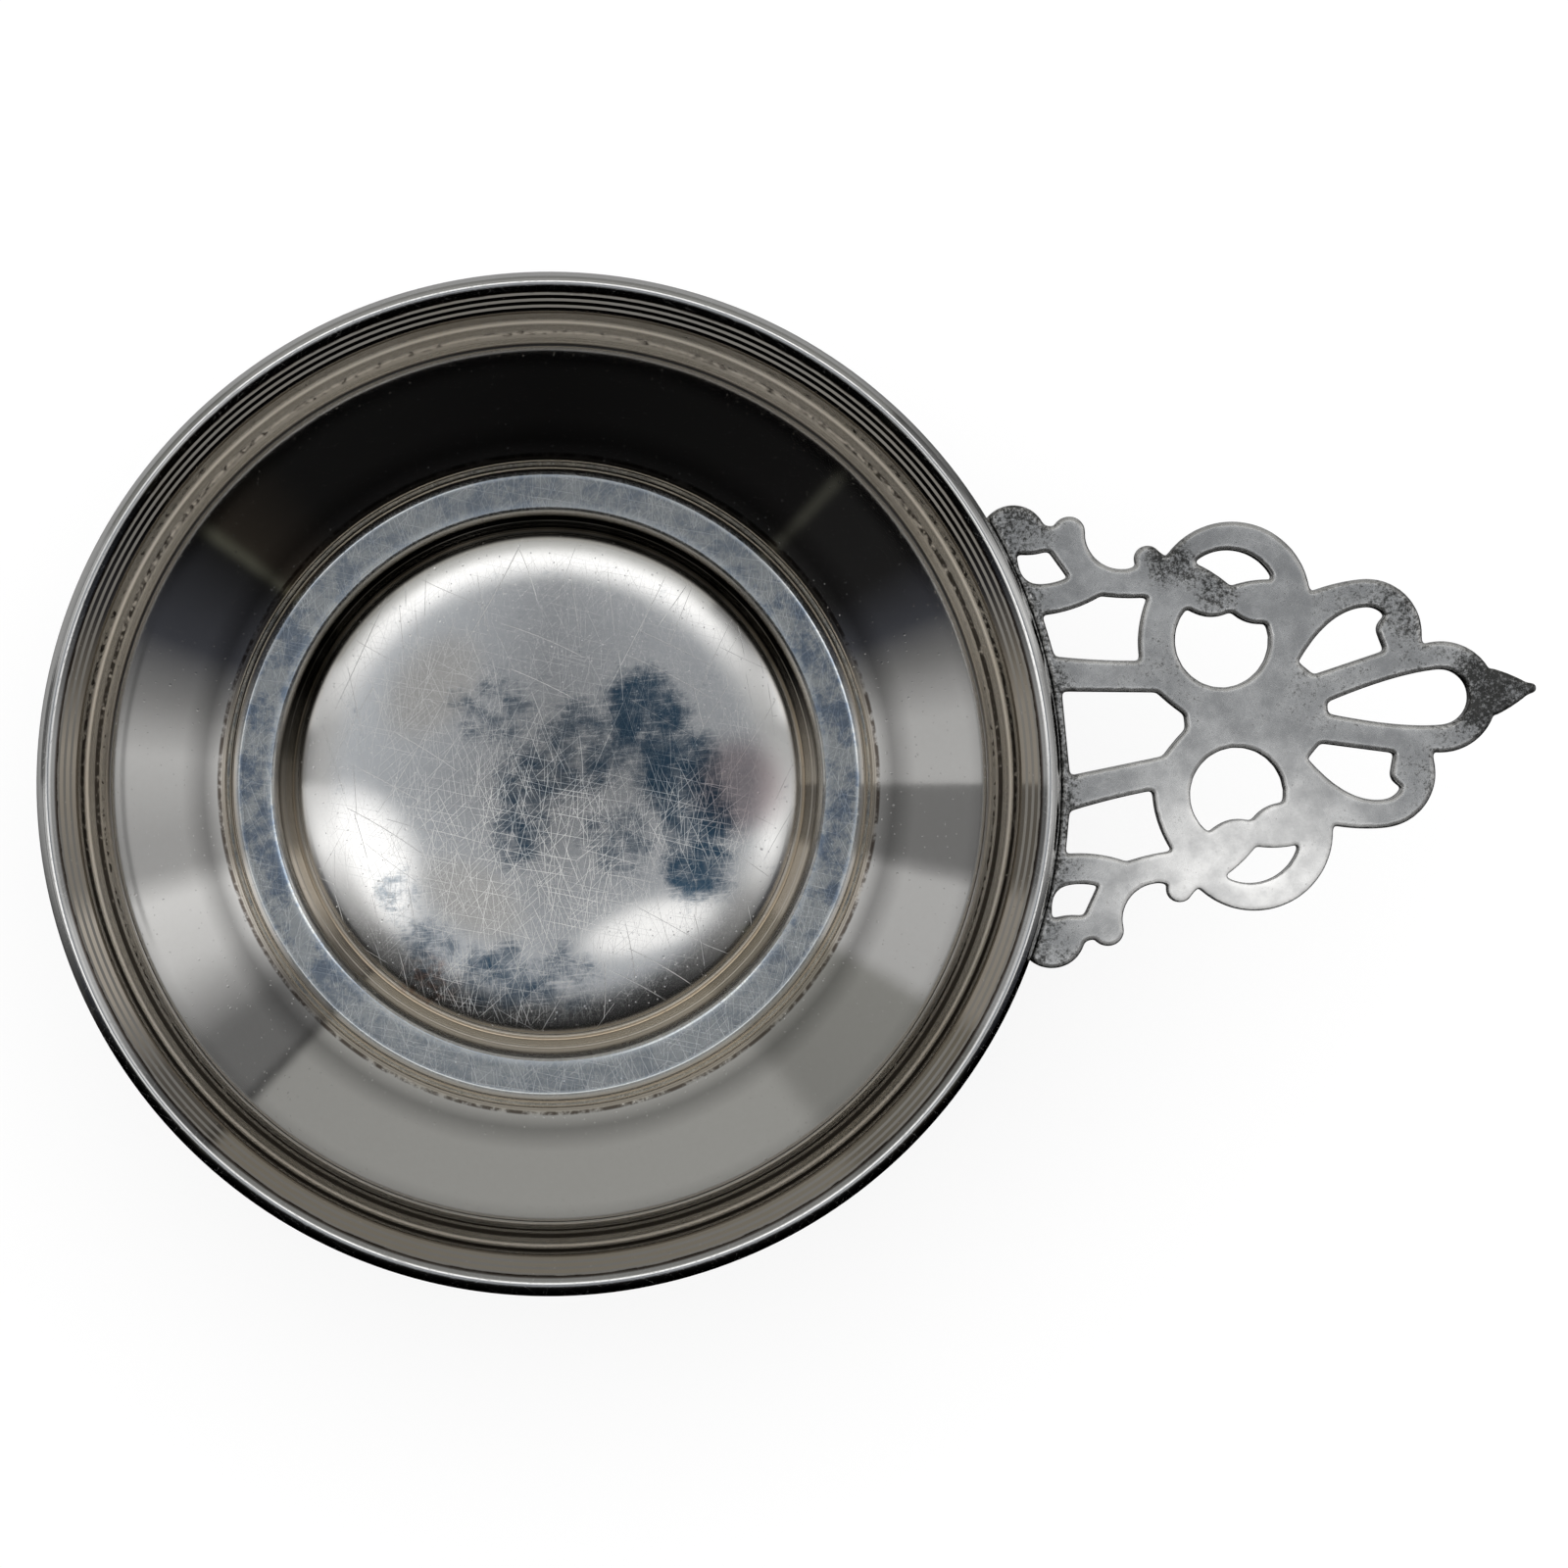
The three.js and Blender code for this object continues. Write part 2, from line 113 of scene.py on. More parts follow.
class Bench:
    """A material's or world's node tree, to which nodes are added and joined."""

    def __init__(self, owner):
        owner.use_nodes = True
        self.tree = owner.node_tree
        self.tree.nodes.clear()

    def node(self, kind, settings=None, sockets=None, out=0):
        node = self.tree.nodes.new(kind)
        for name, value in (settings or {}).items():
            if name == "stops":
                stops = node.color_ramp.elements
                while len(stops) < len(value):
                    stops.new(1)
                for stop, (place, colour) in zip(stops, value):
                    stop.position = place
                    stop.color = (*colour, 1)
            else:
                setattr(node, name, value)
        for name, value in (sockets or {}).items():
            if isinstance(value, Reading):
                self.tree.links.new(value.socket, node.inputs[name])
            else:
                node.inputs[name].default_value = value
        if isinstance(out, tuple):
            return [Reading(self, node.outputs[name]) for name in out]
        return Reading(self, node.outputs[out]) if node.outputs else None

    def ease(self, value, start, end):
        """0 before start and 1 after end, smoothly between; start may be the larger."""
        low, high = min(start, end), max(start, end)
        to = (0, 1) if start < end else (1, 0)
        sockets = {"Value": value, 1: low, 2: high, 3: to[0], 4: to[1]}
        return self.node("ShaderNodeMapRange", {"interpolation_type": "SMOOTHSTEP"}, sockets)

    def blend(self, share, first, second):
        """One colour turning into another."""
        first, second = ((*c, 1) if isinstance(c, tuple) else c for c in (first, second))
        return self.node("ShaderNodeMix", {"data_type": "RGBA"}, {0: share, 6: first, 7: second}, out=2)

    def tint(self, colour, by, share=1.0):
        """One colour times another."""
        by = (*by, 1) if isinstance(by, tuple) else by
        settings = {"data_type": "RGBA", "blend_type": "MULTIPLY"}
        return self.node("ShaderNodeMix", settings, {0: share, 6: colour, 7: by}, out=2)

    def grey(self, value):
        return self.node("ShaderNodeCombineColor", None, {0: value, 1: value, 2: value})

    def ramp(self, value, stops):
        """A colour, or a grey where a stop has one number, at each stop from 0 to 1."""
        stops = [(at, colour if isinstance(colour, tuple) else (colour,) * 3) for at, colour in stops]
        return self.node("ShaderNodeValToRGB", {"stops": stops}, {0: value})

    def vector(self, operation, *values):
        return self.node("ShaderNodeVectorMath", {"operation": operation}, dict(enumerate(values)))

    def parts(self, vector):
        return self.node("ShaderNodeSeparateXYZ", None, {0: vector}, out=("X", "Y", "Z"))


world = bpy.data.worlds.new("tent")
scene.world = world
world.cycles.sampling_method = "NONE"
tent = Bench(world)
sight = tent.node("ShaderNodeTexCoord", out="Object")
sight = tent.node("ShaderNodeMapping", None, {"Vector": sight, "Rotation": (0, 0, handle_rise)})
east, north, up = tent.parts(sight)

# In degrees: how far from straight up, and the way round from the east, anticlockwise
lean = up.sum("ARCCOSINE", up) * math.degrees(1)
bearing = up.sum("ARCTAN2", north, east) * math.degrees(1)


def round_the_tent(stops):
    """Colours by the bearing, from -180 to 180 degrees."""
    return tent.ramp((bearing + 180) / 360, [((angle + 180) / 360, colour) for angle, colour in stops])


# The sides: their tones with the thin light seams between them, and how these go upwards
sides = round_the_tent([
    (-180, 0.42), (-170, 0.40), (-162, 0.16), (-156, (0.040, 0.042, 0.050)), (-148, 0.012),
    (-134, 0.010), (-133.2, (0.075, 0.075, 0.060)), (-132.4, 0.006), (-90, 0.004),
    (-50, 0.006), (-38, (0.018, 0.015, 0.012)), (-36.8, (0.085, 0.085, 0.065)), (-36, 0.008),
    (-21, (0.040, 0.042, 0.050)), (-12, 0.20), (-4, 0.46), (8, 0.33), (13, 0.33),
    (17, 0.66), (26, 0.55), (31, 0.34), (37, 0.13), (45.6, 0.13), (46.4, 0.05),
    (47.2, (0.275, 0.275, 0.265)), (127, (0.295, 0.295, 0.283)), (130, (0.20, 0.20, 0.19)),
    (149, (0.22, 0.22, 0.208)), (151.5, 0.40), (166, 0.42), (168, 0.16),
])
up_the_sides = tent.ramp(lean / 90, [
    (0.36, 1.25), (0.44, 0.56), (0.53, 1.0), (0.76, 1.0), (0.86, 0.68), (0.96, 0.62),
])
sides = tent.tint(sides, up_the_sides)

# The black hem of the south cloth, and a dark bar low across the west and the east window
hem_black = (0.0005, 0.0005, 0.0005)
bar_black = (0.02, 0.02, 0.02)
hem = tent.ease(lean, 64, 74) * tent.ease(north, -0.35, -0.6)
sides = tent.blend(hem * 0.85, sides, hem_black)
west_bar = tent.ease(abs(lean - 75), 2.2, 0.8) * tent.ease(abs(bearing), 146, 156)
east_bar = tent.ease(abs(lean - 70.5), 1.4, 0.4) * tent.ease(abs(bearing), 24, 16)
sides = tent.blend(west_bar * 0.65 + east_bar * 0.4, sides, bar_black)


def lamp(angle, tilt, tall, wide, along):
    """A soft light in the ceiling: its angle and lean, half its height and width, its slide."""
    angle = math.radians(angle)
    outward = east * math.cos(angle) + north * math.sin(angle) - math.sin(math.radians(tilt))
    aside = north * math.cos(angle) - east * math.sin(angle) - along
    outward, aside = outward / tall, aside / wide
    return tent.ease(outward * outward + aside * aside, 1.0, 0.15)


# The ceiling: dim overhead, brighter to the west and south, with four lamps and a bright edge
edge = round_the_tent([
    (-180, 0.62), (-165, 1.05), (-152, 0.45), (-137, 0.12), (-120, 0.03), (-60, 0.03), (-45, 0.12),
    (-30, 0.30), (-15, 1.05), (0, 0.60), (14, 0.36), (30, 0.60), (45, 1.15), (60, 1.4),
    (122, 1.4), (137, 1.15), (150, 0.85), (165, 0.40),
])
overhead, brightest = 0.145, 0.45
glow = overhead - east.least(0) * 0.6 + east.most(0) * 0.25 - north.least(0) * 0.55 + north.most(0) * 0.28
ceiling = tent.tint(tent.grey(glow.least(brightest)), (0.95, 1.0, 1.07))
for angle, tilt, tall, wide, along, power in (
    (203, 26.4, 0.15, 0.21, 0, 1.25), (287.5, 21.1, 0.062, 0.19, 0.12, 1.0),
    (236, 17.5, 0.09, 0.16, 0, 0.34), (140, 19, 0.10, 0.16, 0, 0.30),
):
    ceiling = tent.blend(lamp(angle, tilt, tall, wide, along), ceiling, (power,) * 3)
ceiling = tent.blend(tent.ease(lean, 25.6, 29.2), ceiling, edge)

# What the silver mirrors, what lights it softly, and the white that the camera sees
sides_share = tent.ease(lean + north.most(0) * 2, 29.9, 31.7)
mirrored = tent.blend(sides_share, ceiling, sides)
under = tent.grey(tent.ease(north - east * 0.5, -0.1, 0.6) * 0.3)
mirrored = tent.blend(tent.ease(lean, 88, 96), mirrored, under)
is_glossy, is_diffuse = tent.node("ShaderNodeLightPath", out=("Is Glossy Ray", "Is Diffuse Ray"))
soft = tent.grey(1 + north * 0.9)
seen = tent.blend(is_diffuse, tent.blend(is_glossy, (1.0, 1.0, 1.0), mirrored), soft)
light = tent.node("ShaderNodeBackground", None, {"Color": seen})
tent.node("ShaderNodeOutputWorld", None, {"Surface": light})

floor_shape = bmesh.new()
bmesh.ops.create_grid(floor_shape, x_segments=1, y_segments=1, size=3)
floor_mesh = bpy.data.meshes.new("floor")
floor_shape.to_mesh(floor_mesh)
floor_shape.free()
floor = bpy.data.objects.new("floor", floor_mesh)
scene.collection.objects.link(floor)
floor.visible_glossy = False
floor_paint = bpy.data.materials.new("floor_paint")
paint = Bench(floor_paint)
paint_shader = paint.node("ShaderNodeBsdfPrincipled", None, {
    "Base Color": (0.2, 0.2, 0.2, 1), "Roughness": 0.9,
    "Emission Color": (0.83, 0.83, 0.83, 1), "Emission Strength": 1.0,
})
paint.node("ShaderNodeOutputMaterial", None, {0: paint_shader})
floor_mesh.materials.append(floor_paint)

# Bowl: one sheet of silver, raised and planished, with a low dome, a step down to the flat
# ring that it stands on, a bellied side, a narrow neck and a flared lip with three reeds.
bowl_steps = 200
sheet = 1.0
dome_radius = 31.5
dome_curve = 125
dome_edge = 3.05
dome_rounding = 0.32
# Corners after the dome: radius, height, and how far from the corner its rounding starts
base_corners = [(33.35, 1.0, 2.2), (39.5, 1.0, 1.13), (40.45, 2.65, 0.4)]
belly_start = (40.9, 2.8)
# The belly's two arcs: the radius of each, and its slope where it starts
belly_arcs = [(40.0, math.radians(18.5)), (10.4, math.radians(40))]
neck = 51.85
lip_corners = [(57.63, 22.66, 4.5), (neck, 31.0, 4.0), (neck, 35.6, 0.42)]
# Points up the face of the lip, of which every second one starts a reed
lip = [(55.45, 40.037), (55.83, 40.257), (56.14, 40.437), (56.52, 40.658), (56.83, 40.837),
       (57.21, 41.058), (57.5, 41.235)]
reeds = [radius for radius, height in lip[1::2]]
reed_rise = 0.145
corner_steps = 10
# Stretches of the side that are longer than this are cut up, so that the wall stays even
long_stretch, stretch_cuts = 1.5, 8


def profile_point(bm, last, radius, height):
    """A new end of the profile, joined to the last one."""
    vert = bm.verts.new((radius * mm, 0, height * mm))
    if last:
        bm.edges.new((last, vert))
    return vert


def profile_arc(bm, start, centre, angle, steps):
    """An arc of the profile from its end, about a centre of radius and height."""
    turned = bmesh.ops.spin(
        bm, geom=[start], cent=(centre[0] * mm, 0, centre[1] * mm), axis=(0, 1, 0),
        dvec=(0, 0, 0), angle=angle, steps=steps, use_merge=False, use_duplicate=False,
    )
    return next(v for v in turned["geom_last"] if isinstance(v, bmesh.types.BMVert))


def round_corners(bm, corners, steps):
    """Rounds corners of the profile, each from its own distance."""
    for corner, ease in corners:
        bmesh.ops.bevel(
            bm, geom=[corner], offset=ease * mm, offset_type="OFFSET", segments=steps, profile=0.5,
            affect="VERTICES", material=-1,
        )


def turn_round(bm, steps):
    """Spins all there is round the bowl's axis and closes the seam and the pole."""
    bmesh.ops.spin(
        bm, geom=bm.verts[:] + bm.edges[:], cent=(0, 0, 0), axis=(0, 0, 1), dvec=(0, 0, 0),
        angle=2 * math.pi, steps=steps, use_merge=True, use_duplicate=False,
    )
    bmesh.ops.remove_doubles(bm, verts=bm.verts[:], dist=0.001 * mm)
    bmesh.ops.recalc_face_normals(bm, faces=bm.faces[:])


def finished(bm, name, material, sharp=20):
    """The bmesh as an object of the scene, smooth but for its sharp corners."""
    mesh = bpy.data.meshes.new(name)
    bm.to_mesh(mesh)
    bm.free()
    mesh.shade_smooth()
    mesh.set_sharp_from_angle(angle=math.radians(sharp))
    mesh.materials.append(material)
    piece = bpy.data.objects.new(name, mesh)
    scene.collection.objects.link(piece)
    return piece


bm = bmesh.new()
edge_angle = math.asin(dome_radius / dome_curve)
apex = dome_edge + dome_curve * (1 - math.cos(edge_angle))
end = profile_point(bm, None, 0, apex)
end = profile_arc(bm, end, (0, apex - dome_curve), edge_angle, 24)
rounded = [(end, dome_rounding)]
for radius, height, ease in base_corners:
    end = profile_point(bm, end, radius, height)
    rounded.append((end, ease))
end = profile_point(bm, end, *belly_start)
for (curve, slope), (_, stop) in zip(belly_arcs, belly_arcs[1:] + [(0, math.pi / 2)]):
    centre = (end.co.x / mm - curve * math.sin(slope), end.co.z / mm + curve * math.cos(slope))
    end = profile_arc(bm, end, centre, slope - stop, 20)
for radius, height, ease in lip_corners:
    end = profile_point(bm, end, radius, height)
    rounded.append((end, ease))
for radius, height in lip:
    end = profile_point(bm, end, radius, height)
round_corners(bm, rounded, corner_steps)
side = (dome_radius - 0.5) * mm
straight = [e for e in bm.edges if e.calc_length() > long_stretch * mm and e.verts[0].co.x > side]
bmesh.ops.subdivide_edges(bm, edges=straight, cuts=stretch_cuts)
turn_round(bm, bowl_steps)
if sum(f.normal.z for f in bm.faces) < 0:
    bmesh.ops.reverse_faces(bm, faces=bm.faces[:])
bmesh.ops.solidify(bm, geom=bm.faces[:], thickness=sheet * mm)

# Three fine steps in the face of the lip, each a steep rise and a tread
lip_foot = 40
for reed in reeds:
    ring = [v for v in bm.verts if abs(v.co.xy.length - reed * mm) < 0.02 * mm]
    ring = [v for v in ring if v.co.z > lip_foot * mm]
    bmesh.ops.translate(bm, verts=ring, vec=Vector((0, 0, reed_rise)) * mm)
bmesh.ops.translate(bm, verts=bm.verts[:], vec=bowl_middle)


def silver_place(bench):
    """Where a point is, in millimetres: from the bowl's axis along each way, and its radius."""
    place = bench.node("ShaderNodeTexCoord", out="Object")
    place = bench.node("ShaderNodeMapping", None, {
        "Vector": place, "Location": tuple(-v / mm for v in bowl_middle), "Scale": (1 / mm,) * 3,
    })
    flat = bench.vector("MULTIPLY", place, (1, 1, 0))
    radius = bench.node("ShaderNodeVectorMath", {"operation": "LENGTH"}, {0: flat}, out="Value")
    return place, radius


def noise(bench, place, scale, detail=2.0, roughness=0.5, kind="3D"):
    """Clouds from 0 to 1, so many to a millimetre; a 1D kind goes by one reading alone."""
    return bench.node("ShaderNodeTexNoise", {"noise_dimensions": kind}, {
        ("W" if kind == "1D" else "Vector"): place, "Scale": scale, "Detail": detail,
        "Roughness": roughness,
    })


def brushed(bench, place, turn, seed):
    """A haze of long strokes that lie one way."""
    strokes = bench.node("ShaderNodeMapping", None, {
        "Vector": place, "Location": (seed * 11, seed * 7, 0), "Rotation": (0, 0, turn),
        "Scale": (0.16, 3.4, 1),
    })
    return bench.ease(noise(bench, strokes, 1.0, 2, 0.6), 0.56, 0.76)


def scratches(bench, place, turn, length, gap, width, seed, share=0.8):
    """Fine marks that lie nearly one way, each with its own slant, bend, width and strength."""
    place = bench.node("ShaderNodeMapping", None, {
        "Vector": place, "Location": (17.3 * seed, 9.1 * seed, 0), "Rotation": (0, 0, turn),
    })
    cell = bench.vector("DIVIDE", place, (length, gap, 1))
    colour, centre = bench.node(
        "ShaderNodeTexVoronoi", {"voronoi_dimensions": "2D"},
        {"Vector": cell, "Scale": 1.0, "Randomness": 1.0}, out=("Color", "Position"),
    )
    slant, strength, thick = bench.parts(colour)
    along, across, _ = bench.parts(bench.vector("SUBTRACT", cell, centre))
    leaning = along * (slant - 0.5) * (1.6 * gap)
    bent = along * along * (thick - 0.5) * (1.2 * gap)
    line = bench.ease(abs(across * gap + leaning + bent) / (thick + 0.5), width, width * 0.4)
    ends = bench.ease(abs(along), 0.55, 0.25)
    return line * ends * bench.ease(strength, 1 - share, 1.15 - share)


def specks(bench, place, cell, size, seed, share=0.5):
    """Small round pits and dots, some to a cell."""
    place = bench.vector("ADD", place, (5.7 * seed, 3.1 * seed, 0))
    distance, colour = bench.node(
        "ShaderNodeTexVoronoi", {"voronoi_dimensions": "2D"},
        {"Vector": place, "Scale": 1 / cell, "Randomness": 1.0}, out=("Distance", "Color"),
    )
    chance, wide, _ = bench.parts(colour)
    dot = bench.ease(distance * cell, size, size * 0.3)
    return dot * bench.ease(chance, 1 - share, 1.1 - share) * (0.4 + wide * 0.6)


def near(bench, place, x, y, reach, soft):
    """1 round a place in millimetres, falling to 0 at its reach."""
    away = bench.vector("SUBTRACT", bench.vector("MULTIPLY", place, (1, 1, 0)), (x, y, 0))
    away = bench.node("ShaderNodeVectorMath", {"operation": "LENGTH"}, {0: away}, out="Value")
    return bench.ease(away, reach, reach * soft)


def silver_surface(bench, colour, metallic, roughness, height):
    """The metal itself, with its colour, its polish and its fine relief in metres."""
    normal = bench.node("ShaderNodeBump", None, {"Strength": 1.0, "Distance": 1.0, "Height": height})
    surface = bench.node("ShaderNodeBsdfPrincipled", None, {
        "Base Color": colour, "Metallic": metallic, "Roughness": roughness, "Normal": normal,
    })
    bench.node("ShaderNodeOutputMaterial", None, {0: surface})


bowl_finish = bpy.data.materials.new("bowl_silver")
silver = Bench(bowl_finish)
micron = 1e-6
ring_start, ring_end = 34.2, 39.4
lip_start = 51.3
lip_width = 4.0
place, radius = silver_place(silver)
_, across, rise = silver.parts(place)
on_dome = silver.ease(radius, dome_radius + 0.9, dome_radius - 0.3)
on_ring = silver.ease(radius, ring_start, ring_start + 0.8) * silver.ease(radius, ring_end, ring_end - 0.8)
on_lip = silver.ease(rise, 32, 34)
cloud = noise(silver, place, 0.07, 3, 0.55)
grain = noise(silver, place, 0.9, 5, 0.7)

# Scratches: brushed haze, fine ones where the dome is rubbed, deep ones and dots
haze = brushed(silver, place, 1.35, 3).most(brushed(silver, place, 2.1, 5))
haze = haze.most(brushed(silver, place, 0.5, 7))
fine = scratches(silver, place, 0.3, 9, 0.75, 0.034, 1, 0.8)
for turn, length, gap, width, seed in (
    (1.9, 12, 0.8, 0.034, 2), (1.25, 8, 0.7, 0.034, 3), (2.5, 6, 0.7, 0.03, 4), (1.6, 4.5, 0.55, 0.03, 5),
):
    fine = fine.most(scratches(silver, place, turn, length, gap, width, seed, 0.8))
deep = scratches(silver, place, 2.15, 20, 3.0, 0.036, 11, 0.45)
for turn, length, gap, width, seed in ((0.55, 13, 2.8, 0.034, 12), (1.5, 9, 2.2, 0.034, 13)):
    deep = deep.most(scratches(silver, place, turn, length, gap, width, seed, 0.4))
deep = deep * silver.ease(radius, 31.2, 29.6)
dots = specks(silver, place, 1.3, 0.10, 1, 0.5).most(specks(silver, place, 3.4, 0.18, 2, 0.3))

# Where it is rubbed: places in millimetres from the middle, their reach, softness and share
worn = near(silver, place, -6, -9, 25, 0.3)
for x, y, reach, softness, share in (
    (17, -6, 11, 0.3, 0.9), (-9, -22, 11, 0.4, 1), (-14, 10, 17, 0.3, 0.5),
):
    worn = worn.most(near(silver, place, x, y, reach, softness) * share)
worn = worn.most(silver.ease(radius, 30.0, 26.5) * 0.28) * silver.ease(radius, 31.0, 29.4)
worn = worn.most(on_ring * 0.5)
fine = fine * worn * (0.35 + cloud * 1.2)
marks = fine + haze * worn * (cloud * 0.5 - 0.08).most(0)
marks = marks.most(deep * (0.02 + on_dome * 0.5 + on_ring * 0.35))
marks = marks.most(dots * (0.03 + on_dome * 0.55 + on_ring * 0.6)).least(1)
dull = silver.ease(noise(silver, place, 2.2, 3, 0.8), 0.48, 0.72) * silver.ease(radius, 30.5, 28) * 0.14

# Navy and purple tarnish on the dome, a rusty spot by its edge, grey-blue blots on the ring
silver_tones = (0.90, 0.89, 0.87), (0.955, 0.95, 0.935)
ring_tone = (0.92, 0.97, 1.0)
navy_stain = (0.035, 0.12, 0.21)
purple_stain = (0.46, 0.36, 0.38)
ring_stain = (0.38, 0.47, 0.62)
rust_stain = (0.62, 0.36, 0.26)
patch = near(silver, place, 12.5, 7.5, 8, 0.45)
for x, y, reach, share in (
    (16, 0, 8, 1), (18, -5, 7.5, 1), (17.5, -12, 6.5, 0.95), (5, 4, 9, 0.76), (-2, 1, 7, 0.8),
    (-4, -6, 6, 0.85), (8, -8, 7, 0.6), (-17, -19, 6, 0.6), (-9, -23.5, 7, 0.75), (-1, -24.5, 7, 0.6),
    (-6, 10, 8, 0.5), (-20, -12, 5, 0.5),
):
    patch = patch.most(near(silver, place, x, y, reach, 0.4) * share)
blots = noise(silver, place, 0.33, 7, 0.68)
navy = silver.ease(blots * 0.75 + grain * 0.25 + patch * 0.36 - haze * 0.10, 0.56, 0.92) * on_dome
purple = near(silver, place, 23.5, -2.5, 8, 0.4) * on_dome
mottle = silver.ease(noise(silver, place, 0.28, 7, 0.74), 0.42, 0.62) * on_ring
colour = silver.blend(grain, *silver_tones)
colour = silver.tint(colour, navy_stain, navy * (0.95 - marks * 0.6))
dull = dull * (1 - navy) + on_ring * (1 - mottle * 0.6) * 0.16
colour = silver.tint(colour, purple_stain, purple * 0.7)
colour = silver.tint(colour, ring_tone, on_ring)
stained = 0.9 - silver.ease(abs(across), 12, 32) * 0.4 - silver.ease(across, -18, -34) * 0.3
colour = silver.tint(colour, ring_stain, mottle * stained)
rust = near(silver, place, -17.5, -23.5, 5, 0.2) * silver.ease(noise(silver, place, 0.6, 4, 0.6), 0.42, 0.62)
colour = silver.tint(colour, rust_stain, rust * on_dome * 0.8)

# Grey-tan tint in the creases and on the lip, and painted highlights on the lip that lie in rings
crease_and_lip_tan = (0.86, 0.77, 0.65)
creases, _, _ = silver.parts(silver.ramp(radius / 60, [
    (0.0, 0), (0.505, 0), (0.53, 1), (0.56, 0.9), (0.575, 0.1), (0.650, 0.05), (0.66, 0.9),
    (0.680, 0.9), (0.69, 0.05), (1.0, 0.05),
]))
tan = creases.most(on_lip) * (0.65 + cloud * 0.5)
colour = silver.tint(colour, crease_and_lip_tan, tan.least(1))
rings, _, _ = silver.parts(silver.ramp((radius - lip_start) / lip_width, [
    (0.0, 0), (0.10, 0.1), (0.17, 0.8), (0.25, 0.35), (0.36, 0.5), (0.48, 1.0), (0.56, 0.45),
    (0.65, 0.40), (0.74, 0.95), (0.83, 0.3), (0.95, 0.25), (1.0, 0),
]))
streaks = noise(silver, radius, 3.1, 3, 0.6, "1D")
streaks = (rings * (0.45 + streaks * 1.1)).least(1)
# Painted sheen: the light rings are made part diffuse, most on the north side, so that they catch more light
# there.
painted_north_sheen = silver.ease(across, -48, 45) * 0.44 + 0.02
on_reeds = silver.ease(radius, lip_start + lip_width, lip_start + lip_width + 0.2)
# Painted highlights: the lip is made darker but for its light rings.
colour = silver.tint(colour, silver.grey(0.42 + streaks * 0.58), on_lip * (1 - on_reeds))

# Black by the wire and in broken rings on the lip, painted shade in the neck and in the groove round the
# dome, one painted highlight ring on the lip, and a broken brown line where the belly starts
lip_dark_and_shade_black = (0.05, 0.042, 0.034)
groove_shade_black = (0.03, 0.03, 0.027)
line_brown = (0.16, 0.13, 0.11)
wire_joint = 57.6
highlight_ring_radius = 54.2
belly_line = 41.2
# Painted shade: the north half of the groove round the dome is made near black.
painted_groove_shade = silver.ease(radius, 30.6, 31.3) * silver.ease(radius, 34.3, 33.6) * silver.ease(across, -14, 12)
by_wire = silver.ease(noise(silver, place, 0.3, 4, 0.6), 0.42, 0.60)
dark = silver.ease(abs(radius - wire_joint), 0.25, 0.1) * by_wire
for ring, wide, least in ((52.6, 0.16, 0.46), (53.2, 0.36, 0.28), (54.75, 0.28, 0.34)):
    rough = silver.ease(noise(silver, place, 1.1, 5, 0.75) - across * 0.004, least, least + 0.16)
    dark = dark.most(silver.ease(abs(radius - ring), wide, wide * 0.4) * rough * 0.96)
# A painted highlight: one ring on the lip is made part diffuse, so that it shows lighter.
painted_highlight_ring = silver.ease(abs(radius - highlight_ring_radius), 0.2, 0.06)
# Painted shade: the lip just inside the neck is made darker, most on the north side.
painted_neck_shade = silver.ease(radius, neck + 0.4, neck + 0.1) * silver.ease(across, -25, 20)
lip_dark_and_painted_shade = dark.most(painted_neck_shade) * on_lip
colour = silver.tint(colour, lip_dark_and_shade_black, lip_dark_and_painted_shade)
colour = silver.tint(colour, groove_shade_black, painted_groove_shade * (0.7 + cloud * 0.5).least(1))
broken = silver.ease(noise(silver, place, 0.5, 4, 0.7), 0.36, 0.56)
thin = silver.ease(abs(radius - belly_line), 0.35, 0.1) * broken
colour = silver.tint(colour, line_brown, thin * silver.ease(rise, 8, 5) * 0.9)

roughness = 0.045 + on_dome * 0.02 + grain * 0.03 + marks * 0.22 + navy * 0.06
roughness = roughness + on_lip * streaks * 0.08 + lip_dark_and_painted_shade * 0.3
metallic = 1 - (marks + dull * (1 - marks)) * 0.85 - on_lip * streaks * painted_north_sheen - painted_highlight_ring * on_lip * 0.2
height = noise(silver, place, 0.10, 2, 0.4) * (12 * micron) - (deep + dots) * (6 * micron)
height = height + rings * on_lip * (9 * micron)
silver_surface(silver, colour, metallic, roughness, height)

bowl = finished(bm, "bowl_sheet", bowl_finish)
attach(bowl, "root")
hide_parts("bowl")

# Rim wire: a half-round silver wire, bent to a ring and soldered round the outside of the
# lip. Its crest stands nearer the bowl than its outer side, which is worn round.
wire_steps = 240
# Corners of its section: radius, height, and how far from the corner its rounding starts
wire_corners = [(57.5, 39.3, 0.1), (57.5, 41.235, 0.12), (58.2, 41.888, 0.06), (58.56, 42.0, 0.06),
                (58.95, 41.922, 0.12), (60.0, 41.2, 0.95), (60.0, 39.3, 0.7)]
bm = bmesh.new()
end = None
rounded = []
for radius, height, ease in wire_corners:
    end = profile_point(bm, end, radius, height)
    rounded.append((end, ease))
bm.edges.new((end, rounded[0][0]))
round_corners(bm, rounded, 8)
turn_round(bm, wire_steps)
bmesh.ops.translate(bm, verts=bm.verts[:], vec=bowl_middle)

